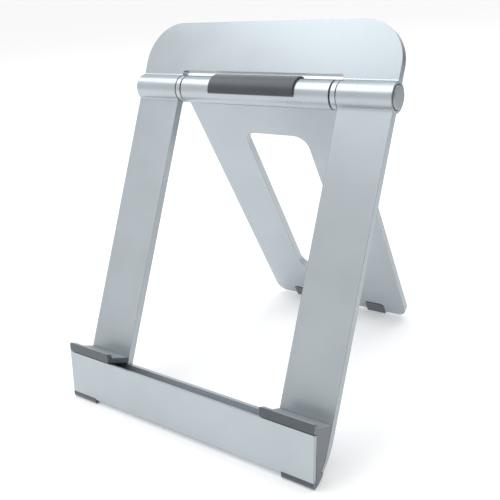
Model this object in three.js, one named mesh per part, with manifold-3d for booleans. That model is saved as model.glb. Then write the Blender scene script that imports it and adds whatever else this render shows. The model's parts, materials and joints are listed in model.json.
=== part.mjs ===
// Folding desk stand for a tablet or a phone: two aluminium extrusions joined by a friction hinge.
//
// The front frame is a plate with a window, a hinge barrel near its top and a hooked lip at its foot.
// The rear leg is a plate with a knuckle that turns between the two lengths of the frame's barrel.
// A long screw through both clamps the joint: disc springs press the barrels, the keyed collars and
// the friction washers against the knuckle. Rubber mouldings cushion the lip, the knuckle and the feet.
//
// Millimetres. +X to the stand's right, +Y to its back, +Z up. The origin is on the floor, at the
// centre of the stand's bounding box.
import * as THREE from 'three';
import { mergeVertices } from 'three/addons/utils/BufferGeometryUtils.js';
import Module from 'manifold-3d';

const wasm = await Module();
wasm.setup();

// ---------------------------------------------------------------- driving dimensions
const WIDTH = 120; // length of the front extrusion, side to side
const HALF = WIDTH / 2;
const LEAN = THREE.MathUtils.degToRad(26.25); // front frame, top leaning back from upright
const SWING = THREE.MathUtils.degToRad(27.95); // rear leg, foot swung back from plumb
const GAP = 0.3; // working clearance between neighbouring pieces

const PLATE = 3.3; // thickness of both plates
const CHAMFER = 0.5; // broken edge all round the plates
const BARREL_R = 5.6;
const CREASE_R = 0.9; // fillet where a plate runs into a barrel

// Front frame. Depths are measured back from the hinge axis, heights up from it.
const FRAME_FRONT = -1.92; // front face of the plate
const FRAME_BACK = FRAME_FRONT + PLATE;
const FRAME_TOP = 28;
const TOP_CORNER_R = 17;
const WINDOW_HALF = 38.2;
const WINDOW_TOP = 7.3; // edge of the slot above the knuckle
const WINDOW_FOOT = -120.1;
const WINDOW_CORNER_R = 0.9; // at the window's two top corners

// Hooked lip at the foot of the frame
const HOOK_Y = -6.2; // centre of the hook's bend
const HOOK_Z = -136.2;
const HOOK_R = 1.9; // outside of the bend
const LIP = 1.6; // thickness of the lip
const LIP_TOP = -119.5;
const LIP_FLARE = THREE.MathUtils.degToRad(20.5); // lip, opening forward from the plate
const BACK_TANGENT = THREE.MathUtils.degToRad(-45); // where the bend runs into the plate
const THIN_FROM = -122; // the plate's back starts to curve forward here
const CURVE_FROM = -127; // the plate's front starts to curve forward here
const CUSHION_STEP = -133.6; // below here the hook's ends are cut back for the rubber
const CUSHION_CUT = { wall: 2, lip: -6.8 }; // length of that cut, and the depth where it stops

// Rear leg. Depths and heights are measured from the hinge axis, with the leg hanging plumb.
const LEG_FRONT = -0.27;
const LEG_BACK = LEG_FRONT + PLATE;
const LEG_HALF = 37.6;
const LEG_FOOT = -136.9;
const LEG_SHOULDER = -6.3; // top of the plate outboard of the knuckle
const LEG_CORNER_R = 5;
const LEG_WINDOW = { half: 15.4, top: -22, foot: -112, radius: 6 };
const KNUCKLE_HALF = 34.9;
const KNUCKLE_ROOT = -8; // the knuckle's own stub of plate ends here

// Hinge stack, distances outward from the stand's middle
const BORE_R = 3.6;
const SHAFT_R = 2;
const SLEEVE = { inner: 2.3, outer: 3.3 };
const COUNTERBORE = { radius: 4.7, from: 50 };
const WASHER = { inner: 2.4, outer: 5.2, from: 35.2, to: 35.6 };
const COLLAR = { inner: 2.4, from: 35.9, to: 37.9, edge: 0.35 };
const KEY = { radius: 0.5, hole: 0.8, offset: 4.6, from: 36.3, to: 41, holeTo: 41.3 };
const FRAME_BUSH = { from: 38.6, to: 49.6 };
const KNUCKLE_BUSH = { from: 24, to: 34.6 };
const THRUST = { inner: 2.3, outer: 4.1, from: 50.3, to: 51.1 };
const DISC = { inner: 2.35, outer: 4.1, thick: 0.5, cone: 0.4, first: 51.4, second: 52.6 };
const HEAD = { radius: 3.5, from: 53.8, to: 57.2, socket: 1.73, socketFrom: 55.2 };
const NUT_R = 4.04; // across corners, half
const CAP = { radius: 4.4, from: 57.7, to: 60.7, edge: 0.4 };

// Rubber pieces
const PAD = { half: 20.2, inner: 5.5, outer: 6.5, span: THREE.MathUtils.degToRad(63), pocket: 5.2 };
const LEDGE = { top: -117.1, under: -119.2, back: -2.25, inner: 37.6 };
const UPSTAND = { top: -115.6, topBack: -13.45, back: -12.9 };
const FOOT = {
  from: 46.8,
  radius: 2.75, // about the centre of the hook's bend
  flat: 1, // width of the flat that rests on the floor
  nose: 2.6, // the corner forward of the flat that is rounded off
  seat: 1.25, // the bend is cut back to this radius under the foot
  toe: THREE.MathUtils.degToRad(-155), // front end of that seat
  toeGap: THREE.MathUtils.degToRad(10),
  flapBend: { y: -2.78, z: -136.68 },
  flapEnd: { y: -1.74, z: -134.51, slope: 0.29 },
};
const END_WALL = {
  neck: -6.5,
  bend: { y: -2.9, z: -136.79 },
  back: -1.85,
  front: -4.3,
  knee: { y: -2.9, z: -131 },
};
const REAR_FOOT = { centre: 21.1, half: 4.9, top: -131.4, thick: 0.8, pocket: 0.8, sole: -138.1 };

const ARC_STEPS = 10; // flats along a curve
const ROUND_STEPS = 32; // flats round a turned piece

// ---------------------------------------------------------------- finishes
const FINISHES = {
  aluminium: { color: 0xc9ced2, roughness: 0.38, metalness: 0.9 },
  rubber: { color: 0x474d53, roughness: 0.85, metalness: 0 },
  steel: { color: 0x9a9da0, roughness: 0.3, metalness: 1 },
  bronze: { color: 0xa8824a, roughness: 0.45, metalness: 1 },
  nylon: { color: 0x2a2c2e, roughness: 0.6, metalness: 0 },
};

// ---------------------------------------------------------------- helpers
const axisX = new THREE.Vector3(1, 0, 0);
const axisY = new THREE.Vector3(0, 1, 0);
const axisZ = new THREE.Vector3(0, 0, 1);
const SIDE_TO_X = new THREE.Matrix4().makeBasis(axisY, axisZ, axisX); // side outlines, drawn as (y, z)
const FACE_TO_Y = new THREE.Matrix4().makeBasis(axisX, axisZ, axisY.clone().negate()); // drawn as (x, z)

// Extrudes an outline to a full depth, with both end edges broken by a chamfer.
function extrude(shape, depth, chamfer) {
  const geometry = new THREE.ExtrudeGeometry(shape, {
    depth: depth - 2 * chamfer,
    curveSegments: ARC_STEPS,
    bevelEnabled: chamfer > 0,
    bevelThickness: chamfer,
    bevelSize: chamfer,
    bevelOffset: -chamfer,
    bevelSegments: 1,
  });
  return geometry.translate(0, 0, chamfer);
}

// A side outline (y, z) run from one x to another.
function alongX(shape, from, to, chamfer = 0) {
  return extrude(shape, to - from, chamfer).applyMatrix4(SIDE_TO_X).translate(from, 0, 0);
}

// A front outline (x, z) given the depth between a front and a back face.
function alongY(shape, front, back, chamfer = 0) {
  return extrude(shape, back - front, chamfer).applyMatrix4(FACE_TO_Y).translate(0, back, 0);
}

function box(x0, x1, y0, y1, z0, z1) {
  return new THREE.BoxGeometry(x1 - x0, y1 - y0, z1 - z0)
    .translate((x0 + x1) / 2, (y0 + y1) / 2, (z0 + z1) / 2);
}

// Turns a profile of [x, radius] points, in order round the section, about the X axis.
function turned(profile, steps = ROUND_STEPS) {
  const points = profile.map(([x, radius]) => new THREE.Vector2(radius, x));
  return new THREE.LatheGeometry(points, steps).rotateZ(-Math.PI / 2);
}

function rod(radius, from, to, steps = ROUND_STEPS) {
  return turned([[from, 0], [from, radius], [to, radius], [to, 0]], steps);
}

function ring(inner, outer, from, to, edge = 0) {
  if (edge === 0) {
    return turned([[from, outer], [to, outer], [to, inner], [from, inner], [from, outer]]);
  }
  return turned([
    [from, outer - edge], [from + edge, outer], [to - edge, outer], [to, outer - edge],
    [to, inner], [from, inner], [from, outer - edge],
  ]);
}

// Mirrors a right-hand piece to the left, keeping its faces pointing out.
function mirrored(geometry) {
  const left = geometry.clone().scale(-1, 1, 1);
  if (!left.index) {
    left.setIndex([...Array(left.attributes.position.count).keys()]);
  }
  const faces = left.index;
  for (let i = 0; i < faces.count; i += 3) {
    const first = faces.getX(i);
    faces.setX(i, faces.getX(i + 2));
    faces.setX(i + 2, first);
  }
  return left;
}

function solid(geometry) {
  const bare = geometry.clone();
  bare.deleteAttribute('normal');
  bare.deleteAttribute('uv');
  const merged = mergeVertices(bare);
  return new wasm.Manifold(new wasm.Mesh({
    numProp: 3,
    vertProperties: Float32Array.from(merged.attributes.position.array),
    triVerts: Uint32Array.from(merged.index.array),
  }));
}

// Joins the first list of shapes and cuts the second list away.
function carve(joined, cuts = []) {
  let body = joined.map(solid).reduce((whole, part) => whole.add(part));
  for (const cut of cuts) {
    body = body.subtract(solid(cut));
  }
  const mesh = body.getMesh();
  const geometry = new THREE.BufferGeometry();
  geometry.setAttribute('position', new THREE.BufferAttribute(mesh.vertProperties, 3));
  geometry.setIndex(new THREE.BufferAttribute(mesh.triVerts, 1));
  geometry.computeVertexNormals();
  return geometry;
}

function piece(group, name, finish, geometry) {
  const mesh = new THREE.Mesh(geometry, new THREE.MeshStandardMaterial(FINISHES[finish]));
  mesh.name = name;
  group.add(mesh);
}

// Adds a right-hand piece and its mirror image.
function pair(group, name, finish, geometry) {
  piece(group, `${name}_right`, finish, geometry);
  piece(group, `${name}_left`, finish, mirrored(geometry));
}

// ---------------------------------------------------------------- outlines
function roundedRectangle(half, foot, top, radius) {
  const shape = new THREE.Shape();
  shape.moveTo(-half, foot + radius);
  shape.absarc(-half + radius, foot + radius, radius, Math.PI, 1.5 * Math.PI);
  shape.absarc(half - radius, foot + radius, radius, 1.5 * Math.PI, 2 * Math.PI);
  shape.absarc(half - radius, top - radius, radius, 0, 0.5 * Math.PI);
  shape.absarc(-half + radius, top - radius, radius, 0.5 * Math.PI, Math.PI);
  return shape;
}

// One fillet between a barrel and a plate face. face is the face's depth, and level is +1 above the
// axis or -1 below it. Gives the fillet's centre and the angle from it to the hinge axis.
function crease(face, level) {
  const y = face + Math.sign(face) * CREASE_R;
  const z = level * Math.sqrt((BARREL_R + CREASE_R) ** 2 - y ** 2);
  return { y, z, toAxis: Math.atan2(-z, -y), fromAxis: Math.atan2(z, y) };
}

// Draws a crease from the plate face round to the barrel, or the other way.
function drawCrease(shape, { y, z, toAxis }, outward) {
  const toPlate = y < 0 ? 0 : Math.PI * Math.sign(toAxis);
  const [start, end] = outward ? [toAxis, toPlate] : [toPlate, toAxis];
  shape.absarc(y, z, CREASE_R, start, end, true);
}

// Barrel with a plate running through it, above and below.
function barrelOutline(front, back) {
  const [frontUp, frontDown] = [crease(front, 1), crease(front, -1)];
  const [backUp, backDown] = [crease(back, 1), crease(back, -1)];
  const shape = new THREE.Shape();
  shape.moveTo(front, frontUp.z);
  drawCrease(shape, frontUp, false);
  shape.absarc(0, 0, BARREL_R, frontUp.fromAxis, frontDown.fromAxis + 2 * Math.PI);
  drawCrease(shape, frontDown, true);
  shape.lineTo(back, backDown.z);
  drawCrease(shape, backDown, false);
  shape.absarc(0, 0, BARREL_R, backDown.fromAxis, backUp.fromAxis);
  drawCrease(shape, backUp, true);
  return shape;
}

// Knuckle with a plate running out of it below only.
function knuckleOutline(front, back) {
  const [frontDown, backDown] = [crease(front, -1), crease(back, -1)];
  const shape = new THREE.Shape();
  shape.moveTo(front, KNUCKLE_ROOT);
  shape.lineTo(back, KNUCKLE_ROOT);
  drawCrease(shape, backDown, false);
  shape.absarc(0, 0, BARREL_R, backDown.fromAxis, frontDown.fromAxis + 2 * Math.PI, false);
  drawCrease(shape, frontDown, true);
  return shape;
}

// Depth of the lip's faces at a height: inset is measured in from the outside face.
function lipDepth(z, inset) {
  const run = HOOK_R - inset + (z - HOOK_Z) * Math.sin(LIP_FLARE);
  return HOOK_Y - run / Math.cos(LIP_FLARE);
}

// End of the bend at a radius, and the height its tangent reaches at a depth.
function bendEnd(radius, depth) {
  const y = HOOK_Y + radius * Math.cos(BACK_TANGENT);
  const z = HOOK_Z + radius * Math.sin(BACK_TANGENT);
  return { y, z, tangentZ: z - (depth - y) / Math.tan(BACK_TANGENT) };
}

// Plate foot, bend and lip in one outline.
function hookOutline() {
  const lipTangent = LIP_FLARE - Math.PI;
  const inside = HOOK_R - LIP;
  const front = bendEnd(inside, FRAME_FRONT);
  const back = bendEnd(HOOK_R, FRAME_BACK);
  const shape = new THREE.Shape();
  shape.moveTo(FRAME_FRONT, WINDOW_FOOT);
  shape.lineTo(FRAME_FRONT, CURVE_FROM);
  shape.quadraticCurveTo(FRAME_FRONT, front.tangentZ, front.y, front.z);
  shape.absarc(HOOK_Y, HOOK_Z, inside, BACK_TANGENT, lipTangent, true);
  shape.lineTo(lipDepth(LIP_TOP, LIP), LIP_TOP);
  shape.lineTo(lipDepth(LIP_TOP, 0), LIP_TOP);
  shape.absarc(HOOK_Y, HOOK_Z, HOOK_R, lipTangent, BACK_TANGENT);
  shape.lineTo(back.y, back.z);
  shape.quadraticCurveTo(FRAME_BACK, back.tangentZ, FRAME_BACK, THIN_FROM);
  shape.lineTo(FRAME_BACK, WINDOW_FOOT);
  return shape;
}

// The part of the bend cut away under a foot: round the bend, then straight on along its tangent.
function footSeat() {
  const reach = 6;
  const { y, z } = bendEnd(FOOT.seat, 0);
  const shape = new THREE.Shape();
  shape.absarc(HOOK_Y, HOOK_Z, FOOT.seat, FOOT.toe, BACK_TANGENT);
  shape.lineTo(y + reach, z + reach);
  shape.lineTo(y + reach, z - reach);
  shape.lineTo(HOOK_Y + reach * Math.cos(FOOT.toe), z - reach);
  shape.lineTo(HOOK_Y + reach * Math.cos(FOOT.toe), HOOK_Z + reach * Math.sin(FOOT.toe));
  return shape;
}

// A point on the floor, so far forward of where the foot's arc comes down to it.
function onFloor(forward) {
  return {
    y: HOOK_Y + FOOT.radius * Math.sin(LEAN) - forward * Math.cos(LEAN),
    z: HOOK_Z - FOOT.radius * Math.cos(LEAN) - forward * Math.sin(LEAN),
  };
}

// ---------------------------------------------------------------- front frame
function frontFrame() {
  const plateFoot = THIN_FROM;
  const plate = new THREE.Shape();
  plate.moveTo(-HALF, plateFoot);
  plate.lineTo(HALF, plateFoot);
  plate.absarc(HALF - TOP_CORNER_R, FRAME_TOP - TOP_CORNER_R, TOP_CORNER_R, 0, 0.5 * Math.PI);
  plate.absarc(TOP_CORNER_R - HALF, FRAME_TOP - TOP_CORNER_R, TOP_CORNER_R, 0.5 * Math.PI, Math.PI);
  const window = new THREE.Path();
  const [cornerX, cornerZ] = [WINDOW_HALF - WINDOW_CORNER_R, WINDOW_TOP - WINDOW_CORNER_R];
  window.moveTo(-WINDOW_HALF, WINDOW_FOOT);
  window.lineTo(WINDOW_HALF, WINDOW_FOOT);
  window.absarc(cornerX, cornerZ, WINDOW_CORNER_R, 0, 0.5 * Math.PI);
  window.absarc(-cornerX, cornerZ, WINDOW_CORNER_R, 0.5 * Math.PI, Math.PI);
  plate.holes.push(window);

  const barrel = alongX(barrelOutline(FRAME_FRONT, FRAME_BACK), WINDOW_HALF, HALF, CHAMFER);
  const keyHole = rod(KEY.hole, WINDOW_HALF - 1, KEY.holeTo, ARC_STEPS).translate(0, 0, KEY.offset);
  const rightCuts = [
    rod(BORE_R, WINDOW_HALF - 1, HALF + 1),
    rod(COUNTERBORE.radius, COUNTERBORE.from, HALF + 1),
    keyHole,
    box(HALF - CUSHION_CUT.wall, HALF + 1, CUSHION_CUT.lip, BARREL_R, LEG_FOOT - BARREL_R, CUSHION_STEP),
    alongX(footSeat(), FOOT.from - GAP, HALF + 1),
  ];
  return carve(
    [
      alongY(plate, FRAME_FRONT, FRAME_BACK, CHAMFER),
      alongX(hookOutline(), -HALF, HALF, CHAMFER),
      barrel,
      mirrored(barrel),
    ],
    [...rightCuts, ...rightCuts.map(mirrored)],
  );
}

// ---------------------------------------------------------------- rear leg
function rearLeg() {
  const plate = new THREE.Shape();
  const cornerZ = LEG_FOOT + LEG_CORNER_R;
  plate.moveTo(LEG_HALF, LEG_SHOULDER);
  plate.lineTo(-LEG_HALF, LEG_SHOULDER);
  plate.absarc(LEG_CORNER_R - LEG_HALF, cornerZ, LEG_CORNER_R, Math.PI, 1.5 * Math.PI);
  plate.absarc(LEG_HALF - LEG_CORNER_R, cornerZ, LEG_CORNER_R, 1.5 * Math.PI, 2 * Math.PI);
  const { half, top, foot, radius } = LEG_WINDOW;
  plate.holes.push(new THREE.Path(roundedRectangle(half, foot, top, radius).getPoints(ARC_STEPS)));

  const padPocket = new THREE.Shape();
  const [start, end] = [Math.PI / 2 - PAD.span - 0.04, Math.PI / 2 + PAD.span + 0.04];
  padPocket.absarc(0, 0, BARREL_R + 1, start, end);
  padPocket.absarc(0, 0, PAD.pocket, end, start, true);

  const { centre, half: footHalf, top: footTop, pocket } = REAR_FOOT;
  const footPockets = [-centre, centre].flatMap((x) => {
    const [x0, x1] = [x - footHalf - GAP, x + footHalf + GAP];
    const z0 = LEG_FOOT - 1;
    const z1 = footTop + GAP;
    return [
      box(x0, x1, LEG_FRONT - 1, LEG_FRONT + pocket, z0, z1),
      box(x0, x1, LEG_BACK - pocket, LEG_BACK + 1, z0, z1),
    ];
  });
  return carve(
    [
      alongY(plate, LEG_FRONT, LEG_BACK, CHAMFER),
      alongX(knuckleOutline(LEG_FRONT, LEG_BACK), -KNUCKLE_HALF, KNUCKLE_HALF, CHAMFER),
    ],
    [
      rod(BORE_R, -KNUCKLE_HALF - 1, KNUCKLE_HALF + 1),
      alongX(padPocket, -PAD.half - GAP, PAD.half + GAP),
      ...footPockets,
    ],
  );
}

// ---------------------------------------------------------------- rubber
function knucklePad() {
  const shape = new THREE.Shape();
  shape.absarc(0, 0, PAD.outer, Math.PI / 2 - PAD.span, Math.PI / 2 + PAD.span);
  shape.absarc(0, 0, PAD.inner, Math.PI / 2 + PAD.span, Math.PI / 2 - PAD.span, true);
  return alongX(shape, -PAD.half, PAD.half, 0.25);
}

// Right-hand lip cushion: ledge with upstand, wall closing the end of the channel, and foot.
function lipCushion() {
  const ledge = new THREE.Shape();
  ledge.moveTo(LEDGE.back, LEDGE.top);
  ledge.lineTo(UPSTAND.back, LEDGE.top);
  ledge.lineTo(UPSTAND.topBack, UPSTAND.top);
  ledge.lineTo(lipDepth(UPSTAND.top, 0), UPSTAND.top);
  ledge.lineTo(lipDepth(LEDGE.under, 0), LEDGE.under);
  ledge.lineTo(LEDGE.back, LEDGE.under);

  const wallTop = (LEDGE.top + LEDGE.under) / 2;
  const lipFace = LIP + GAP;
  const soleZ = HOOK_Z - FOOT.radius;
  const neckRun = (HOOK_Y - END_WALL.neck) * Math.cos(LIP_FLARE) - HOOK_R + lipFace;
  const wall = new THREE.Shape();
  wall.moveTo(LEDGE.back, wallTop);
  wall.lineTo(lipDepth(wallTop, lipFace), wallTop);
  wall.lineTo(END_WALL.neck, HOOK_Z + neckRun / Math.sin(LIP_FLARE));
  wall.lineTo(END_WALL.neck, soleZ + GAP);
  wall.lineTo(HOOK_Y, soleZ);
  wall.absarc(HOOK_Y, HOOK_Z, FOOT.radius, -Math.PI / 2, BACK_TANGENT);
  wall.quadraticCurveTo(END_WALL.bend.y, END_WALL.bend.z, END_WALL.back, CUSHION_STEP - GAP);
  wall.lineTo(END_WALL.front, CUSHION_STEP - GAP);
  wall.lineTo(END_WALL.knee.y, END_WALL.knee.z);
  wall.lineTo(LEDGE.back, CURVE_FROM);

  const { flapBend, flapEnd } = FOOT;
  const toe = FOOT.toe + FOOT.toeGap;
  const [nose, flat] = [onFloor(FOOT.nose), onFloor(FOOT.flat)];
  const sole = new THREE.Shape();
  sole.moveTo(HOOK_Y + HOOK_R * Math.cos(toe), HOOK_Z + HOOK_R * Math.sin(toe));
  sole.quadraticCurveTo(nose.y, nose.z, flat.y, flat.z);
  sole.absarc(HOOK_Y, HOOK_Z, FOOT.radius, LEAN - Math.PI / 2, BACK_TANGENT);
  sole.quadraticCurveTo(flapBend.y, flapBend.z, flapEnd.y, flapEnd.z);
  sole.lineTo(flapEnd.y - flapEnd.slope, flapEnd.z + flapEnd.slope);
  sole.absarc(HOOK_Y, HOOK_Z, FOOT.seat + GAP, BACK_TANGENT, toe, true);
  return carve([
    alongX(ledge, LEDGE.inner, HALF, 0.3),
    alongX(wall, HALF - CUSHION_CUT.wall + GAP, HALF),
    alongX(sole, FOOT.from, HALF),
  ]);
}

// Right-hand rubber shoe, clipped over the leg's bottom edge.
function rearFoot() {
  const { centre, half, top, thick, pocket, sole } = REAR_FOOT;
  const [innerFront, innerBack] = [LEG_FRONT + pocket - GAP, LEG_BACK - pocket + GAP];
  const shape = new THREE.Shape();
  shape.moveTo(innerFront, top);
  shape.lineTo(innerFront - thick, top);
  shape.lineTo(innerFront - thick, sole);
  shape.lineTo(innerBack + thick, sole);
  shape.lineTo(innerBack + thick, top);
  shape.lineTo(innerBack, top);
  shape.lineTo(innerBack, LEG_FOOT - GAP);
  shape.lineTo(innerFront, LEG_FOOT - GAP);
  return alongX(shape, centre - half, centre + half, 0.25);
}

// ---------------------------------------------------------------- hinge hardware
function discSpring(from, direction) {
  const [innerEdge, outerEdge] = direction > 0 ? [from, from + DISC.cone] : [from + DISC.cone, from];
  return turned([
    [outerEdge, DISC.outer], [outerEdge + DISC.thick, DISC.outer],
    [innerEdge + DISC.thick, DISC.inner], [innerEdge, DISC.inner], [outerEdge, DISC.outer],
  ]);
}

function hexagon(radius) {
  const corners = [...Array(6).keys()].map((i) => (i * Math.PI) / 3);
  return new THREE.Shape(corners.map((a) => new THREE.Vector2(radius * Math.cos(a), radius * Math.sin(a))));
}

function hingeScrew() {
  return carve(
    [rod(SHAFT_R, -HEAD.to, HEAD.from + 1), rod(HEAD.radius, HEAD.from, HEAD.to)],
    [alongX(hexagon(HEAD.socket), HEAD.socketFrom, HEAD.to + 1)],
  );
}

function lockNut() {
  const nut = hexagon(NUT_R);
  nut.holes.push(new THREE.Path().absarc(0, 0, SHAFT_R + GAP, 0, 2 * Math.PI, true));
  return alongX(nut, -HEAD.to, -HEAD.from);
}

// ---------------------------------------------------------------- assembly
const stand = new THREE.Group();

const frameGroup = new THREE.Group();
frameGroup.rotation.x = -LEAN;
stand.add(frameGroup);
piece(frameGroup, 'front_frame', 'aluminium', frontFrame());
pair(frameGroup, 'lip_cushion', 'rubber', lipCushion());
pair(frameGroup, 'end_cap', 'aluminium', turned([
  [CAP.from, 0], [CAP.from, CAP.radius], [CAP.to - CAP.edge, CAP.radius],
  [CAP.to, CAP.radius - CAP.edge], [CAP.to, 0],
]));
pair(frameGroup, 'hinge_collar', 'aluminium', carve(
  [ring(COLLAR.inner, BARREL_R, COLLAR.from, COLLAR.to, COLLAR.edge)],
  [rod(KEY.hole, KEY.from - GAP, COLLAR.to + 1, ARC_STEPS).translate(0, 0, KEY.offset)],
));
pair(frameGroup, 'collar_key_pin', 'steel', rod(KEY.radius, KEY.from, KEY.to, ARC_STEPS)
  .translate(0, 0, KEY.offset));
pair(frameGroup, 'friction_washer', 'nylon', ring(WASHER.inner, WASHER.outer, WASHER.from, WASHER.to));
pair(frameGroup, 'frame_bush', 'bronze', ring(SLEEVE.inner, SLEEVE.outer, FRAME_BUSH.from, FRAME_BUSH.to));
pair(frameGroup, 'thrust_washer', 'steel', ring(THRUST.inner, THRUST.outer, THRUST.from, THRUST.to));
pair(frameGroup, 'disc_spring_inner', 'steel', discSpring(DISC.first, 1));
pair(frameGroup, 'disc_spring_outer', 'steel', discSpring(DISC.second, -1));
piece(frameGroup, 'hinge_screw', 'steel', hingeScrew());
piece(frameGroup, 'lock_nut', 'steel', lockNut());

const legGroup = new THREE.Group();
legGroup.rotation.x = SWING;
stand.add(legGroup);
piece(legGroup, 'rear_leg', 'aluminium', rearLeg());
piece(legGroup, 'knuckle_pad', 'rubber', knucklePad());
pair(legGroup, 'rear_foot', 'rubber', rearFoot());
pair(legGroup, 'knuckle_bush', 'bronze',
  ring(SLEEVE.inner, SLEEVE.outer, KNUCKLE_BUSH.from, KNUCKLE_BUSH.to));

// Stand the whole on the floor, over the origin.
const bounds = new THREE.Box3().setFromObject(stand, true);
stand.position.set(0, -(bounds.min.y + bounds.max.y) / 2, -bounds.min.z);
stand.updateMatrixWorld(true);

export default stand;
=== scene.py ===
"""Folding aluminium tablet and phone stand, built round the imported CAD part."""

import json
import math

import bmesh
import bpy
from mathutils import Matrix, Vector


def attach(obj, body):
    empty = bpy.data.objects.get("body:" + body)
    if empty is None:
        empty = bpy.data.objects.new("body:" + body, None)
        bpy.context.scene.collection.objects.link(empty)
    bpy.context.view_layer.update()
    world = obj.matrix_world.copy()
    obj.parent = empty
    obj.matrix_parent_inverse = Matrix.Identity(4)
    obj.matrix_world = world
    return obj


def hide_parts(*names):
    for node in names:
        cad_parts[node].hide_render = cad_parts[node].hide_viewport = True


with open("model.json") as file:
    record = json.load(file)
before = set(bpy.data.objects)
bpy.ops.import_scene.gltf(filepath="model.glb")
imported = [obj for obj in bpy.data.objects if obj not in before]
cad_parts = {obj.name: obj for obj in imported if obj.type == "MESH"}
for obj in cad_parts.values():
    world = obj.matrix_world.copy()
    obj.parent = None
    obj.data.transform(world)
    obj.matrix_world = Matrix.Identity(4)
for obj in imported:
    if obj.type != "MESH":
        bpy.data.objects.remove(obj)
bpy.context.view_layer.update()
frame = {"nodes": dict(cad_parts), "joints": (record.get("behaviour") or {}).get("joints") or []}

MM = 0.001
LEAN = math.radians(26.25)  # front frame, top leaning back
SWING = math.radians(27.95)  # rear leg, foot swung back
HINGE = Vector(frame["joints"][0]["pos_m"])
FRAME_PLACE = Matrix.Translation(HINGE) @ Matrix.Rotation(-LEAN, 4, "X") @ Matrix.Scale(MM, 4)
LEG_PLACE = Matrix.Translation(HINGE) @ Matrix.Rotation(SWING, 4, "X") @ Matrix.Scale(MM, 4)

# Sizes are in millimetres from the hinge axis, with each extrusion stood upright:
# x along the hinge, y towards the back, z up. A pair of numbers is (y, z).

# Front extrusion.
HALF = 60.0
PLATE = 3.3
BARREL_R = 5.6
CREASE_R = 0.9
FRAME_FRONT = -1.92
FRAME_BACK = FRAME_FRONT + PLATE
FRAME_TOP = 28.0
TOP_CORNER_R = 17.0
WINDOW_HALF = 38.2
WINDOW_TOP = 7.3
WINDOW_FOOT = -120.1
WINDOW_CORNER_R = 0.9
HOOK = Vector((-6.2, -136.2))  # centre of the bend
HOOK_R = 1.9
LIP = 1.6
LIP_TOP = -119.5
LIP_FLARE = math.radians(20.5)
BACK_TANGENT = math.radians(-45)
THIN_FROM = -122.0
CURVE_FROM = -127.0
BORE_R = 3.6
COUNTERBORE_R = 4.7
COUNTERBORE_FROM = 50.0
PLATE_ROUNDING = 0.5

# Rear extrusion.
LEG_FRONT = -0.27
LEG_BACK = LEG_FRONT + PLATE
LEG_HALF = 37.6
LEG_FOOT = -136.9
LEG_SHOULDER = -6.3
LEG_CORNER_R = 5.0
KNUCKLE_HALF = 35.1
LEG_WINDOW = (15.4, -112, -22, 6)  # half width, foot, top, corner radius

# Rubber strip in the knuckle, centred on the top.
PAD_HALF = 20.2
PAD_SPAN = math.radians(63)
PAD_R = 6.5
PAD_INNER_R = 5.25
POCKET_R = 5.2
POCKET_TOOL_R = 7
POCKET_GAP = 0.3
POCKET_GAP_ANGLE = 0.04
PAD_ROUNDING = 0.35

# Lip cushion: ledge with upstand, end wall, foot.
FIT = 0.1  # play between a cushion and the metal
LEDGE_TOP = -117.1
LEDGE_UNDER = -119.2
LEDGE_BACK = -2.25
LEDGE_INNER = 37.6
LEDGE_CORNER_R = 1
LEDGE_FILLET_R = 0.5
UPSTAND = (-13.45, -12.9, -115.6)  # back at its top, back at the ledge, top
UPSTAND_CORNER_R = 0.7
UPSTAND_REACH = 0.6  # how far behind the upstand its rounded corners run, over the fillet
TRIM_LAP = 0.1
CUSHION_STEP = -133.6
CUSHION_WALL = 2.0
CUSHION_CUT = -6.8  # front of the cut in the metal
WALL_NECK = -6.5
WALL_BEND = (-2.9, -136.79)  # pole of the curve from the bend to the plate
WALL_BACK = -1.85
WALL_FRONT = -4.15
WALL_KNEE = (-2.75, -131)
WALL_TIP = -2.1
FOOT_R = 2.75
FOOT_SEAT = 1.25
FOOT_FROM = 46.8
FOOT_TOE = math.radians(-153)
FOOT_FLAT = 1  # front end of the flat sole, forward of its arc
FOOT_NOSE = 2.6
FLAP_BEND = (-2.78, -136.68)  # pole of the curve from the sole to the flap
FLAP_END = (-1.74, -134.51)
FLAP_THICK = 0.35
NECK_GAP = 0.3  # from the lip's inner face, and up from the sole
SEAT_FROM = math.radians(-155)
CUSHION_ROUNDING = 0.3

# Shoe on the rear leg.
REAR_FOOT = (16.2, 26.0, -131.4, -138.1)  # inner end, outer end, top, sole
SHOE_PROUD = 0.3
SHOE_SKIN = 1.05
SHOE_SEAT = 0.05
SHOE_CORNER_R = 1.5
SHOE_POCKET = 0.8
SHOE_POCKET_TOOL = 1.8
SHOE_ROUNDING = 0.25

# Tools reach this far past what they cut.
THROUGH = 9
PLAN_THROUGH = 30
PLAN_FOOT = -160
PLAN_TOP = 20
PAST_END = 5
BORE_PAST_END = 2
LEG_BORE_HALF = 40

SHARP_ANGLE = math.radians(32)
BEVEL_ANGLE = math.radians(35)
WELD = 0.002
TURNED_STEPS = 96

# Looks. Lengths in this block are in metres.
METALLIC = 0.6
EDGE_METALLIC = 0.95
EDGE_WIDTH = 0.0004
EDGE_SMOOTHER = 0.12  # how much less rough the edge band is, where painted shade also darkens the colour
BARREL_POLISH_FADE = (0.0058, 0.0064)  # radii over which the turned barrel's polish ends
METAL_GRAIN_DEPTH = 0.00003
RUBBER_GRAIN_DEPTH = 0.00005

# The photograph's camera, from the perspective fit.
CAMERA_LENS = 50.495
CAMERA_SENSOR = 36
CAMERA_CLIP = 0.01
CAMERA_PLACE = (0.161599, -0.232078, 0.167394)
CAMERA_TURN = (36.355, 21.709, -4.305)  # azimuth, elevation and roll in degrees

FLOOR_SIZE = 20
FLOOR_GLOW = 0.22
WORLD_LIGHT = 0.8
CARD_THICK = 0.001


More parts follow.
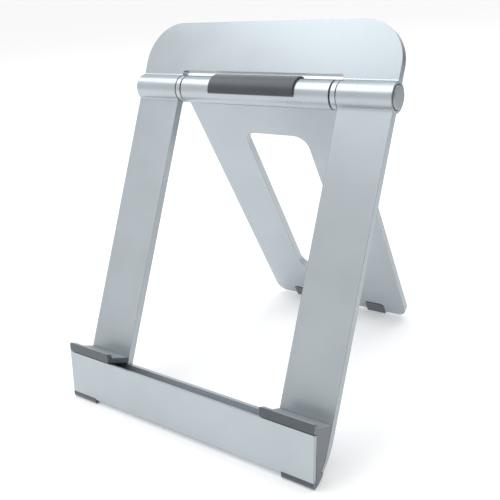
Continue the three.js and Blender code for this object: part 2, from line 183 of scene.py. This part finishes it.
# ---------------------------------------------------------------- outlines
def arc(cx, cy, radius, start, end, steps):
    """Points along an arc, ends included."""
    angles = [start + (end - start) * i / steps for i in range(steps + 1)]
    return [(cx + radius * math.cos(a), cy + radius * math.sin(a)) for a in angles]


def bezier(p0, p1, p2, steps):
    """Points along a quadratic curve, ends left out."""
    points = []
    for i in range(1, steps):
        t = i / steps
        a, b, c = (1 - t) ** 2, 2 * t * (1 - t), t * t
        points.append((a * p0[0] + b * p1[0] + c * p2[0], a * p0[1] + b * p1[1] + c * p2[1]))
    return points


def rounded_rectangle(x0, x1, z0, z1, radii, steps=16):
    """Outline with radii for its corners, anticlockwise from bottom left."""
    corners = [(x0, z0, 1, 1, math.pi), (x1, z0, -1, 1, 1.5 * math.pi),
               (x1, z1, -1, -1, 0), (x0, z1, 1, -1, 0.5 * math.pi)]
    points = []
    for (x, z, sx, sz, start), radius in zip(corners, radii):
        if radius:
            points += arc(x + sx * radius, z + sz * radius, radius,
                          start, start + math.pi / 2, steps)
        else:
            points.append((x, z))
    return points


def crease(face, level):
    """Fillet between a barrel and a plate face: its centre, and the angles from and to the axis."""
    y = face + math.copysign(CREASE_R, face)
    z = level * math.sqrt((BARREL_R + CREASE_R) ** 2 - y * y)
    return y, z, math.atan2(-z, -y), math.atan2(z, y)


def lip_depth(z, inset):
    """The lip's y at a height, on a face set in from its front by so much."""
    run = HOOK_R - inset + (z - HOOK.y) * math.sin(LIP_FLARE)
    return HOOK.x - run / math.cos(LIP_FLARE)


def bend_end(radius):
    """Where the bend runs into the plate, its tangent then at 45 degrees."""
    return (HOOK.x + radius * math.cos(BACK_TANGENT), HOOK.y + radius * math.sin(BACK_TANGENT))


def on_floor(forward):
    """A point on the floor, so far forward of where the foot's arc comes down to it."""
    return (HOOK.x + FOOT_R * math.sin(LEAN) - forward * math.cos(LEAN),
            HOOK.y - FOOT_R * math.cos(LEAN) - forward * math.sin(LEAN))


def frame_outline():
    """Side outline of the front extrusion, plate, barrel and hooked lip in one."""
    fu, fd = crease(FRAME_FRONT, 1), crease(FRAME_FRONT, -1)
    bu, bd = crease(FRAME_BACK, 1), crease(FRAME_BACK, -1)
    turn = 2 * math.pi
    points = [(FRAME_FRONT, FRAME_TOP)]
    points += arc(fu[0], fu[1], CREASE_R, 0, fu[2], 6)
    points += arc(0, 0, BARREL_R, fu[3], fd[3] + turn, 40)[1:-1]
    points += arc(fd[0], fd[1], CREASE_R, fd[2], 0, 6)
    inside = HOOK_R - LIP
    tangent = LIP_FLARE - math.pi
    front, back = bend_end(inside), bend_end(HOOK_R)
    start = (FRAME_FRONT, CURVE_FROM)
    points.append(start)
    points += bezier(start, (FRAME_FRONT, front[1] + FRAME_FRONT - front[0]), front, 14)
    points += arc(HOOK.x, HOOK.y, inside, BACK_TANGENT, tangent, 10)
    points += [(lip_depth(LIP_TOP, LIP), LIP_TOP), (lip_depth(LIP_TOP, 0), LIP_TOP)]
    points += arc(HOOK.x, HOOK.y, HOOK_R, tangent, BACK_TANGENT, 28)
    thin = (FRAME_BACK, THIN_FROM)
    points += bezier(back, (FRAME_BACK, back[1] + FRAME_BACK - back[0]), thin, 18)
    points.append(thin)
    points += arc(bd[0], bd[1], CREASE_R, math.pi, bd[2], 6)
    points += arc(0, 0, BARREL_R, bd[3], bu[3], 40)[1:-1]
    points += arc(bu[0], bu[1], CREASE_R, bu[2], -math.pi, 6)
    points.append((FRAME_BACK, FRAME_TOP))
    return points


def leg_outline():
    """Side outline of the rear extrusion, knuckle and plate in one."""
    fd, bd = crease(LEG_FRONT, -1), crease(LEG_BACK, -1)
    points = [(LEG_FRONT, LEG_FOOT), (LEG_BACK, LEG_FOOT)]
    points += arc(bd[0], bd[1], CREASE_R, math.pi, bd[2], 6)
    points += arc(0, 0, BARREL_R, bd[3], fd[3] + 2 * math.pi, 72)[1:-1]
    points += arc(fd[0], fd[1], CREASE_R, fd[2], 0, 6)
    return points


# ---------------------------------------------------------------- mesh building
def as_mesh(bm):
    mesh = bpy.data.meshes.new("work")
    bm.to_mesh(mesh)
    bm.free()
    return mesh


def new_object(name, data):
    obj = bpy.data.objects.new(name, data)
    bpy.context.scene.collection.objects.link(obj)
    return obj


def prism(points, low, high, axis):
    """A closed prism: points are (y, z) run along x, or (x, z) run along y."""
    place = {"x": lambda p, d: (d, p[0], p[1]), "y": lambda p, d: (p[0], d, p[1])}[axis]
    bm = bmesh.new()
    rings = [[bm.verts.new(place(p, d)) for p in points] for d in (low, high)]
    bm.faces.new(rings[0])
    bm.faces.new(rings[1])
    count = len(points)
    for i in range(count):
        j = (i + 1) % count
        bm.faces.new((rings[0][i], rings[0][j], rings[1][j], rings[1][i]))
    bmesh.ops.recalc_face_normals(bm, faces=bm.faces)
    return as_mesh(bm)


def block(x0, x1, y0, y1, z0, z1):
    return prism([(x0, z0), (x1, z0), (x1, z1), (x0, z1)], y0, y1, "y")


def turned(profile):
    """(x, radius) points turned about the x axis: solid between two points on it, else a ring."""
    steps = TURNED_STEPS
    bm = bmesh.new()
    rings = []
    for x, radius in profile:
        if radius == 0:
            rings.append([bm.verts.new((x, 0, 0))])
            continue
        angles = [2 * math.pi * i / steps for i in range(steps)]
        rings.append([bm.verts.new((x, radius * math.cos(a), radius * math.sin(a)))
                      for a in angles])
    pairs = list(zip(rings, rings[1:]))
    if profile[0][1] != 0:
        pairs.append((rings[-1], rings[0]))
    for a, b in pairs:
        for i in range(steps):
            j = (i + 1) % steps
            if len(a) == 1:
                bm.faces.new((a[0], b[i], b[j]))
            elif len(b) == 1:
                bm.faces.new((a[i], a[j], b[0]))
            else:
                bm.faces.new((a[i], a[j], b[j], b[i]))
    bmesh.ops.recalc_face_normals(bm, faces=bm.faces)
    return as_mesh(bm)


def mirrored(mesh):
    """A left-hand copy of a right-hand mesh."""
    copy = mesh.copy()
    copy.transform(Matrix.Scale(-1, 4, (1, 0, 0)))
    copy.flip_normals()
    return copy


def settle(obj):
    """Applies the object's modifiers to its mesh."""
    bpy.context.view_layer.update()
    graph = bpy.context.evaluated_depsgraph_get()
    mesh = bpy.data.meshes.new_from_object(obj.evaluated_get(graph))
    obj.modifiers.clear()
    old = obj.data
    obj.data = mesh
    bpy.data.meshes.remove(old)


def combine(obj, meshes, operation):
    """Exact booleans with each mesh in turn, then a weld of points that lie close together."""
    for mesh in meshes:
        other = new_object("tool", mesh)
        modifier = obj.modifiers.new("cut", "BOOLEAN")
        modifier.operation = operation
        modifier.solver = "EXACT"
        modifier.object = other
        settle(obj)
        bpy.data.objects.remove(other)
        bpy.data.meshes.remove(mesh)
    bm = bmesh.new()
    bm.from_mesh(obj.data)
    bmesh.ops.remove_doubles(bm, verts=bm.verts, dist=WELD)
    bmesh.ops.dissolve_degenerate(bm, dist=WELD, edges=bm.edges)
    bm.to_mesh(obj.data)
    bm.free()


def round_edges(obj, width, segments=3):
    """Rounds a piece's sharp edges, by one width all over.

    The clamp cuts the width to suit the shortest edge of the piece. On the front frame, the
    rear leg, the shoes and the lip cushions little of it is left, so they come out nearly sharp.
    """
    modifier = obj.modifiers.new("edges", "BEVEL")
    modifier.limit_method = "ANGLE"
    modifier.angle_limit = BEVEL_ANGLE
    modifier.width = width
    modifier.segments = segments
    modifier.miter_outer = "MITER_ARC"
    modifier.use_clamp_overlap = True
    settle(obj)


def finished(obj, place, body, replaced, material):
    """Places a piece drawn in millimetres, shades it and rides it on its body."""
    obj.data.transform(place)
    if place.determinant() < 0:
        obj.data.flip_normals()
    for polygon in obj.data.polygons:
        polygon.use_smooth = True
    obj.data.set_sharp_from_angle(angle=SHARP_ANGLE)
    weighted = obj.modifiers.new("normals", "WEIGHTED_NORMAL")
    weighted.keep_sharp = True
    weighted.weight = 80
    settle(obj)
    obj.data.name = obj.name
    obj.data.materials.clear()
    obj.data.materials.append(material)
    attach(obj, body)
    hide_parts(*replaced)


def both_sides(name, obj, place, body, material):
    """Finishes a right-hand piece and its mirror image."""
    left = new_object(f"{name}_left_skin", mirrored(obj.data))
    finished(left, place, body, [f"{name}_left"], material)
    obj.name = f"{name}_right_skin"
    finished(obj, place, body, [f"{name}_right"], material)


# ---------------------------------------------------------------- shader nodes
def new_material(name):
    """A material, its node tree and its main shader."""
    material = bpy.data.materials.new(name)
    material.use_nodes = True
    tree = material.node_tree
    return material, tree, tree.nodes["Principled BSDF"]


def ranged(tree, source, low, high, start, end):
    """A value mapped from low..high to start..end."""
    node = tree.nodes.new("ShaderNodeMapRange")
    for name, number in (("From Min", low), ("From Max", high), ("To Min", start), ("To Max", end)):
        node.inputs[name].default_value = number
    tree.links.new(source, node.inputs["Value"])
    return node.outputs["Result"]


def math_node(tree, operation, first, second):
    node = tree.nodes.new("ShaderNodeMath")
    node.operation = operation
    for socket, value in zip(node.inputs, (first, second)):
        if isinstance(value, (int, float)):
            socket.default_value = value
        else:
            tree.links.new(value, socket)
    return node.outputs["Value"]


def vector_node(tree, operation, first, second=None):
    """A vector operation on an output, with a constant as its second value if it takes one."""
    node = tree.nodes.new("ShaderNodeVectorMath")
    node.operation = operation
    tree.links.new(first, node.inputs[0])
    if second is not None:
        node.inputs[1].default_value = second
    return node


def colour_mix(tree, factor, first, second):
    node = tree.nodes.new("ShaderNodeMix")
    node.data_type = "RGBA"
    tree.links.new(factor, node.inputs["Factor"])
    for name, value in (("A", first), ("B", second)):
        if isinstance(value, tuple):
            node.inputs[name].default_value = (*value, 1)
        else:
            tree.links.new(value, node.inputs[name])
    return node.outputs["Result"]


def noise(tree, scale, detail):
    """Cloudy noise in object space, from its scale per metre and its octaves."""
    node = tree.nodes.new("ShaderNodeTexNoise")
    node.inputs["Scale"].default_value = scale
    node.inputs["Detail"].default_value = detail
    place = tree.nodes.new("ShaderNodeTexCoord")
    tree.links.new(place.outputs["Object"], node.inputs["Vector"])
    return node.outputs["Fac"]


def roughen(tree, shader, height, strength, depth):
    """Bumps a surface with a height, which is up to so many metres deep."""
    bump = tree.nodes.new("ShaderNodeBump")
    bump.inputs["Strength"].default_value = strength
    bump.inputs["Distance"].default_value = depth
    tree.links.new(height, bump.inputs["Height"])
    tree.links.new(bump.outputs["Normal"], shader.inputs["Normal"])


def edge_mask(tree):
    """One along sharp convex and concave edges, nought on the flats."""
    bevel = tree.nodes.new("ShaderNodeBevel")
    bevel.samples = 4
    bevel.inputs["Radius"].default_value = EDGE_WIDTH
    shape = tree.nodes.new("ShaderNodeNewGeometry")
    turn = vector_node(tree, "DOT_PRODUCT", bevel.outputs["Normal"])
    tree.links.new(shape.outputs["Normal"], turn.inputs[1])
    return ranged(tree, turn.outputs["Value"], 0.995, 0.93, 0, 1)


def barrel_mask(tree):
    """One within the hinge barrel, nought on the plates."""
    place = tree.nodes.new("ShaderNodeTexCoord")
    offset = vector_node(tree, "SUBTRACT", place.outputs["Object"], HINGE)
    flat = vector_node(tree, "MULTIPLY", offset.outputs["Vector"], (0, 1, 1))
    reach = vector_node(tree, "LENGTH", flat.outputs["Vector"])
    return ranged(tree, reach.outputs["Value"], *BARREL_POLISH_FADE, 1, 0)


# ---------------------------------------------------------------- materials
def anodised(name, colour, roughness, grain, polish=None):
    """Blasted and anodised metal. polish is the roughness of a turned barrel, if it has one."""
    material, tree, shader = new_material(name)
    shader.inputs["IOR"].default_value = 1.5
    shader.inputs["Specular Tint"].default_value = (0.6, 0.62, 0.65, 1)

    blotch, speck = noise(tree, 38, 3), noise(tree, 3200, 2)
    rim = edge_mask(tree)
    # Patchy noise over the edge band. The band darkens the colour with painted shade, raises
    # metallic and lowers roughness.
    edge_patchiness = ranged(tree, noise(tree, 300, 4), 0.3, 0.7, 0.6, 1)
    edge_wear_and_shade = math_node(tree, "MULTIPLY", rim, edge_patchiness)
    tree.links.new(ranged(tree, rim, 0, 1, METALLIC, EDGE_METALLIC), shader.inputs["Metallic"])
    dark = tuple(c * 0.95 for c in colour)
    light = tuple(min(1, c * 1.04) for c in colour)
    # Edge colour at 0.6 of the base: painted shade along convex and concave edges, in place of the
    # dark lines the chamfers reflect.
    edge = tuple(c * 0.6 for c in colour)
    tint = colour_mix(tree, ranged(tree, blotch, 0.3, 0.7, 0, 1), dark, light)
    tree.links.new(colour_mix(tree, edge_wear_and_shade, tint, edge), shader.inputs["Base Color"])

    satin = ranged(tree, blotch, 0.3, 0.7, roughness - 0.03, roughness + 0.03)
    if polish:
        drop = math_node(tree, "MULTIPLY", barrel_mask(tree), roughness - polish)
        satin = math_node(tree, "SUBTRACT", satin, drop)
    drop = math_node(tree, "MULTIPLY", edge_wear_and_shade, EDGE_SMOOTHER)
    tree.links.new(math_node(tree, "SUBTRACT", satin, drop), shader.inputs["Roughness"])
    roughen(tree, shader, speck, grain, METAL_GRAIN_DEPTH)
    return material


def moulded_rubber(name, colour):
    """Matte rubber or nylon, with a faint cloud in its colour and a fine grain."""
    material, tree, shader = new_material(name)
    shader.inputs["Roughness"].default_value = 0.4
    shader.inputs["Sheen Weight"].default_value = 1
    shader.inputs["Sheen Tint"].default_value = (0.86, 0.93, 1, 1)
    shader.inputs["Sheen Roughness"].default_value = 0.4
    dark = tuple(c * 0.85 for c in colour)
    light = tuple(c * 1.15 for c in colour)
    tint = colour_mix(tree, noise(tree, 220, 4), dark, light)
    tree.links.new(tint, shader.inputs["Base Color"])
    roughen(tree, shader, noise(tree, 2600, 3), 0.2, RUBBER_GRAIN_DEPTH)
    return material


def plain(name, grey, roughness, glow=0):
    """One flat grey, for the floor and the cards."""
    material, _, shader = new_material(name)
    shader.inputs["Base Color"].default_value = (grey, grey, grey, 1)
    shader.inputs["Roughness"].default_value = roughness
    shader.inputs["Emission Color"].default_value = (1, 1, 1, 1)
    shader.inputs["Emission Strength"].default_value = glow
    return material


# Colour, roughness, grain and, on the extrusions, the barrel's roughness.
CAP = anodised("cap_aluminium", (0.42, 0.455, 0.48), 0.3, 0.15)
ALUMINIUM = anodised("satin_aluminium", (0.48, 0.525, 0.555), 0.32, 0.3, 0.29)
BRIGHT = anodised("bright_aluminium", (0.5, 0.54, 0.57), 0.24, 0.1)
PAD_RUBBER = moulded_rubber("dark_rubber", (0.042, 0.05, 0.06))
RUBBER = moulded_rubber("blue_grey_rubber", (0.06, 0.071, 0.083))
STEEL = anodised("hardware_steel", (0.5, 0.5, 0.5), 0.3, 0.1)
BRONZE = anodised("bush_bronze", (0.45, 0.3, 0.14), 0.4, 0.2)
NYLON = moulded_rubber("washer_nylon", (0.02, 0.02, 0.023))


# ---------------------------------------------------------------- extrusions
def front_frame():
    obj = new_object("front_frame_skin", prism(frame_outline(), -HALF, HALF, "x"))
    corners = (0, 0, TOP_CORNER_R, TOP_CORNER_R)
    plan = rounded_rectangle(-HALF, HALF, PLAN_FOOT, FRAME_TOP, corners, 24)
    combine(obj, [prism(plan, -PLAN_THROUGH, PLAN_THROUGH, "y")], "INTERSECT")

    corners = (0, 0, WINDOW_CORNER_R, WINDOW_CORNER_R)
    opening = rounded_rectangle(-WINDOW_HALF, WINDOW_HALF, WINDOW_FOOT, WINDOW_TOP, corners, 8)
    window = prism(opening, -THROUGH, THROUGH, "y")
    y, z = bend_end(FOOT_SEAT)
    # The seat follows the bend. The rest of the tool's outline is well outside the metal.
    seat = arc(HOOK.x, HOOK.y, FOOT_SEAT, SEAT_FROM, BACK_TANGENT, 20)
    seat += [(y + 6, z + 6), (y + 6, z - 6), (HOOK.x - 5.4, z - 6), (HOOK.x - 5.4, HOOK.y - 2.5)]
    ends = [block(HALF - CUSHION_WALL, HALF + PAST_END, CUSHION_CUT, THROUGH,
                  HOOK.y - THROUGH, CUSHION_STEP),
            prism(seat, FOOT_FROM - FIT, HALF + PAST_END, "x")]
    combine(obj, [window, *[mirrored(end) for end in ends], *ends], "DIFFERENCE")
    round_edges(obj, PLATE_ROUNDING)

    start, end = WINDOW_HALF - BORE_PAST_END, HALF + BORE_PAST_END
    bore = turned([(start, 0), (start, BORE_R), (COUNTERBORE_FROM, BORE_R),
                   (COUNTERBORE_FROM, COUNTERBORE_R), (end, COUNTERBORE_R), (end, 0)])
    combine(obj, [mirrored(bore), bore], "DIFFERENCE")
    finished(obj, FRAME_PLACE, "frame", ["front_frame"], ALUMINIUM)


def rear_leg():
    obj = new_object("rear_leg_skin", prism(leg_outline(), -LEG_HALF, LEG_HALF, "x"))
    corners = (LEG_CORNER_R, LEG_CORNER_R, 0, 0)
    plan = rounded_rectangle(-LEG_HALF, LEG_HALF, LEG_FOOT, PLAN_TOP, corners)
    combine(obj, [prism(plan, -PLAN_THROUGH, PLAN_THROUGH, "y")], "INTERSECT")

    shoulder = block(KNUCKLE_HALF, LEG_HALF + PAST_END, -THROUGH, THROUGH, LEG_SHOULDER, THROUGH)
    half, foot, top, corner = LEG_WINDOW
    window = prism(rounded_rectangle(-half, half, foot, top, (corner,) * 4),
                   -THROUGH, THROUGH, "y")
    combine(obj, [mirrored(shoulder), shoulder, window], "DIFFERENCE")
    round_edges(obj, PLATE_ROUNDING)

    bore = turned([(-LEG_BORE_HALF, 0), (-LEG_BORE_HALF, BORE_R),
                   (LEG_BORE_HALF, BORE_R), (LEG_BORE_HALF, 0)])
    quarter = math.pi / 2
    low = quarter - PAD_SPAN - POCKET_GAP_ANGLE
    high = quarter + PAD_SPAN + POCKET_GAP_ANGLE
    pocket = arc(0, 0, POCKET_TOOL_R, low, high, 24) + arc(0, 0, POCKET_R, high, low, 24)
    cuts = [bore, prism(pocket, -PAD_HALF - POCKET_GAP, PAD_HALF + POCKET_GAP, "x")]
    x0, x1, top, sole = REAR_FOOT
    corners = (0, 0, SHOE_CORNER_R, SHOE_CORNER_R)
    plan = rounded_rectangle(x0 - FIT, x1 + FIT, sole - 5, top + FIT, corners, 8)
    for y in (LEG_FRONT - 1, LEG_BACK - SHOE_POCKET):
        pocket = prism(plan, y, y + SHOE_POCKET_TOOL, "y")
        cuts += [mirrored(pocket), pocket]
    combine(obj, cuts, "DIFFERENCE")
    finished(obj, LEG_PLACE, "leg", ["rear_leg"], ALUMINIUM)


# ---------------------------------------------------------------- rubber
def knuckle_pad():
    low, high = math.pi / 2 - PAD_SPAN, math.pi / 2 + PAD_SPAN
    points = arc(0, 0, PAD_R, low, high, 40) + arc(0, 0, PAD_INNER_R, high, low, 40)
    obj = new_object("knuckle_pad_skin", prism(points, -PAD_HALF, PAD_HALF, "x"))
    round_edges(obj, PAD_ROUNDING, 4)
    finished(obj, LEG_PLACE, "leg", ["knuckle_pad"], PAD_RUBBER)


def ledge_and_upstand():
    crest, step, top = UPSTAND
    front = lip_depth(top, 0)
    profile = [(LEDGE_BACK, LEDGE_TOP)]
    profile += arc(step + LEDGE_FILLET_R, LEDGE_TOP + LEDGE_FILLET_R, LEDGE_FILLET_R,
                   1.5 * math.pi, math.pi, 5)
    profile += [(crest, top), (front, top), (lip_depth(LEDGE_UNDER, 0), LEDGE_UNDER),
                (LEDGE_BACK, LEDGE_UNDER)]
    obj = new_object("cushion", prism(profile, LEDGE_INNER, HALF, "x"))

    low = LEDGE_UNDER - 1
    corners = (0, 0, UPSTAND_CORNER_R, UPSTAND_CORNER_R)
    plan = rounded_rectangle(LEDGE_INNER, HALF, low, top, corners, 8)
    shelf = rounded_rectangle(LEDGE_INNER, HALF, low, LEDGE_TOP, (0, 0, 0, LEDGE_CORNER_R), 8)
    trim = new_object("trim", prism(plan, front - 1, step, "y"))
    combine(trim, [prism(shelf, step - TRIM_LAP, LEDGE_BACK + 1, "y"),
                   prism(plan, step - TRIM_LAP, step + UPSTAND_REACH, "y")], "UNION")
    combine(obj, [trim.data], "INTERSECT")
    return obj


def lip_cushion():
    """Ledge with upstand, wall closing the end of the channel, and foot.

    The wall and the foot draw the bend with arcs of different steps, so their facets nearly
    coincide. That leaves very short edges for the clamp in round_edges().
    """
    obj = ledge_and_upstand()

    wall_top = (LEDGE_TOP + LEDGE_UNDER) / 2
    sole = HOOK.y - FOOT_R
    neck_run = (HOOK.x - WALL_NECK) * math.cos(LIP_FLARE) - HOOK_R + LIP + NECK_GAP
    neck_top = HOOK.y + neck_run / math.sin(LIP_FLARE)
    arch = arc(HOOK.x, HOOK.y, FOOT_R, -math.pi / 2, BACK_TANGENT, 12)
    corner = (WALL_BACK, CUSHION_STEP - FIT)
    wall = [(LEDGE_BACK, wall_top), (lip_depth(wall_top, LIP + FIT), wall_top),
            (WALL_NECK, neck_top), (WALL_NECK, sole + NECK_GAP)]
    wall += arch + bezier(arch[-1], WALL_BEND, corner, 14)
    wall += [corner, (WALL_FRONT, CUSHION_STEP - FIT), WALL_KNEE, (WALL_TIP, CURVE_FROM)]
    end = prism(wall, HALF - CUSHION_WALL + FIT, HALF, "x")

    tip = (HOOK.x + HOOK_R * math.cos(FOOT_TOE), HOOK.y + HOOK_R * math.sin(FOOT_TOE))
    flat = on_floor(FOOT_FLAT)
    foot = [tip] + bezier(tip, on_floor(FOOT_NOSE), flat, 12) + [flat]
    foot += arc(HOOK.x, HOOK.y, FOOT_R, LEAN - math.pi / 2, BACK_TANGENT, 8)
    foot += bezier(arch[-1], FLAP_BEND, FLAP_END, 8)
    foot += [FLAP_END, (FLAP_END[0] - FLAP_THICK, FLAP_END[1] + FLAP_THICK)]
    foot += arc(HOOK.x, HOOK.y, FOOT_SEAT + FIT, BACK_TANGENT, FOOT_TOE, 20)
    combine(obj, [end, prism(foot, FOOT_FROM, HALF, "x")], "UNION")
    round_edges(obj, CUSHION_ROUNDING, 4)
    both_sides("lip_cushion", obj, FRAME_PLACE, "frame", RUBBER)


def rear_foot():
    x0, x1, top, sole = REAR_FOOT
    front, back = LEG_FRONT - SHOE_PROUD, LEG_BACK + SHOE_PROUD
    seat = LEG_FOOT - SHOE_SEAT
    profile = [(front, top), (front, sole), (back, sole), (back, top), (back - SHOE_SKIN, top),
               (back - SHOE_SKIN, seat), (front + SHOE_SKIN, seat), (front + SHOE_SKIN, top)]
    obj = new_object("foot", prism(profile, x0, x1, "x"))
    corners = (0, 0, SHOE_CORNER_R, SHOE_CORNER_R)
    plan = rounded_rectangle(x0, x1, sole - 1, top, corners, 8)
    combine(obj, [prism(plan, front - 1, back + 1, "y")], "INTERSECT")
    round_edges(obj, SHOE_ROUNDING)
    both_sides("rear_foot", obj, LEG_PLACE, "leg", RUBBER)


# ---------------------------------------------------------------- hinge
def start_edge(outer, start, edge, steps):
    """Rounded outer edge at the low end of a turned piece, as (x, radius) points."""
    points = arc(outer - edge, start + edge, edge, -math.pi / 2, 0, steps)
    return [(x, r) for r, x in points]


def end_edge(outer, end, edge, steps):
    """Rounded outer edge at the high end of a turned piece, as (x, radius) points."""
    points = arc(outer - edge, end - edge, edge, 0, math.pi / 2, steps)
    return [(x, r) for r, x in points]


def turned_ring(inner, outer, start, end, edge):
    """Ring profile with rounded outer edges: radii, ends along x, and the rounding."""
    points = start_edge(outer, start, edge, 6) + end_edge(outer, end, edge, 6)
    return points + [(end, inner), (start, inner)]


def hinge_pieces():
    """The turned pieces, each as body, slot, material and right-hand profile."""
    cap = [(57.7, 0)] + start_edge(4.45, 57.7, 0.15, 3) + end_edge(4.45, 60.7, 0.4, 8)
    cap += [(60.7, 0)]
    collar = turned_ring(2.4, 5.6, 35.65, 37.95, 0.35)
    friction_washer = turned_ring(2.4, 5.2, 35.2, 35.55, 0.1)
    frame_bush = turned_ring(2.3, 3.3, 38.6, 49.6, 0.2)
    thrust_washer = turned_ring(2.3, 4.1, 50.3, 51.1, 0.12)
    knuckle_bush = turned_ring(2.3, 3.3, 24, 34.6, 0.2)
    pieces = {
        "end_cap": ("frame", "anodised_aluminium", CAP, cap),
        "hinge_collar": ("frame", "bright_aluminium", BRIGHT, collar),
        "friction_washer": ("frame", "washer_nylon", NYLON, friction_washer),
        "frame_bush": ("frame", "bush_bronze", BRONZE, frame_bush),
        "thrust_washer": ("frame", "hardware_steel", STEEL, thrust_washer),
        "knuckle_bush": ("leg", "bush_bronze", BRONZE, knuckle_bush),
    }
    for name, (body, slot, material, profile) in pieces.items():
        place = FRAME_PLACE if body == "frame" else LEG_PLACE
        both_sides(name, new_object(name, turned(profile)), place, body, material)


front_frame()
rear_leg()
knuckle_pad()
lip_cushion()
rear_foot()
hinge_pieces()

# The pieces that stay as CAD are all inside the hinge and all steel.
for node in frame["nodes"].values():
    node.data.materials.clear()
    node.data.materials.append(STEEL)


# ---------------------------------------------------------------- stage
def photograph_camera():
    camera = bpy.data.cameras.new("camera")
    camera.lens = CAMERA_LENS
    camera.sensor_width = CAMERA_SENSOR
    camera.clip_start = CAMERA_CLIP
    view = new_object("camera", camera)
    azimuth, elevation, roll = (math.radians(a) for a in CAMERA_TURN)
    back = Vector((math.sin(azimuth) * math.cos(elevation),
                   -math.cos(azimuth) * math.cos(elevation), math.sin(elevation)))
    side = Vector((math.cos(azimuth), math.sin(azimuth), 0))
    over = back.cross(side)
    right = side * math.cos(roll) + over * math.sin(roll)
    up = over * math.cos(roll) - side * math.sin(roll)
    turn = Matrix((right, up, back)).transposed().to_4x4()
    view.matrix_world = Matrix.Translation(CAMERA_PLACE) @ turn
    bpy.context.scene.camera = view


def area_light(name, place, target, size, power, colour=(1, 1, 1)):
    light = bpy.data.lights.new(name, "AREA")
    light.shape = "RECTANGLE"
    light.size, light.size_y = size
    light.energy = power
    light.color = colour
    obj = new_object(name, light)
    obj.location = place
    obj.rotation_euler = (Vector(target) - Vector(place)).to_track_quat("-Z", "Y").to_euler()


def dark_card(name, place, half, height, material):
    """A black card beside the stand, out of the picture, that draws its edges."""
    card = new_object(name, block(-half, half, -CARD_THICK, CARD_THICK, 0, height))
    card.location = place
    card.rotation_euler = (0, 0, math.atan2(place[0], -place[1]))
    card.visible_camera = False
    card.data.materials.append(material)


photograph_camera()

bm = bmesh.new()
bmesh.ops.create_grid(bm, x_segments=1, y_segments=1, size=FLOOR_SIZE)
floor = new_object("floor", as_mesh(bm))
floor.data.materials.append(plain("floor", 0.9, 0.8, FLOOR_GLOW))

world = bpy.data.worlds.new("studio")
bpy.context.scene.world = world
world.use_nodes = True
world.node_tree.nodes["Background"].inputs["Color"].default_value = (1, 1, 1, 1)
world.node_tree.nodes["Background"].inputs["Strength"].default_value = WORLD_LIGHT
bpy.context.scene.view_settings.view_transform = "Standard"

# Name, place, target, size and power.
area_light("front softbox", (-0.456, -0.243, 0.927), (0, 0, 0.13), (0.9, 0.62), 4.2,
           (0.96, 0.98, 1))
area_light("back softbox", (0, 0.5, 1), (0, 0, 0.05), (0.8, 0.8), 3)

black = plain("card", 0.01, 0.9)
dark_card("front card", (0.5, -0.26, 0.06), 0.32, 0.58, black)
dark_card("back card", (0.38, 0.66, 0.02), 0.26, 0.3, black)
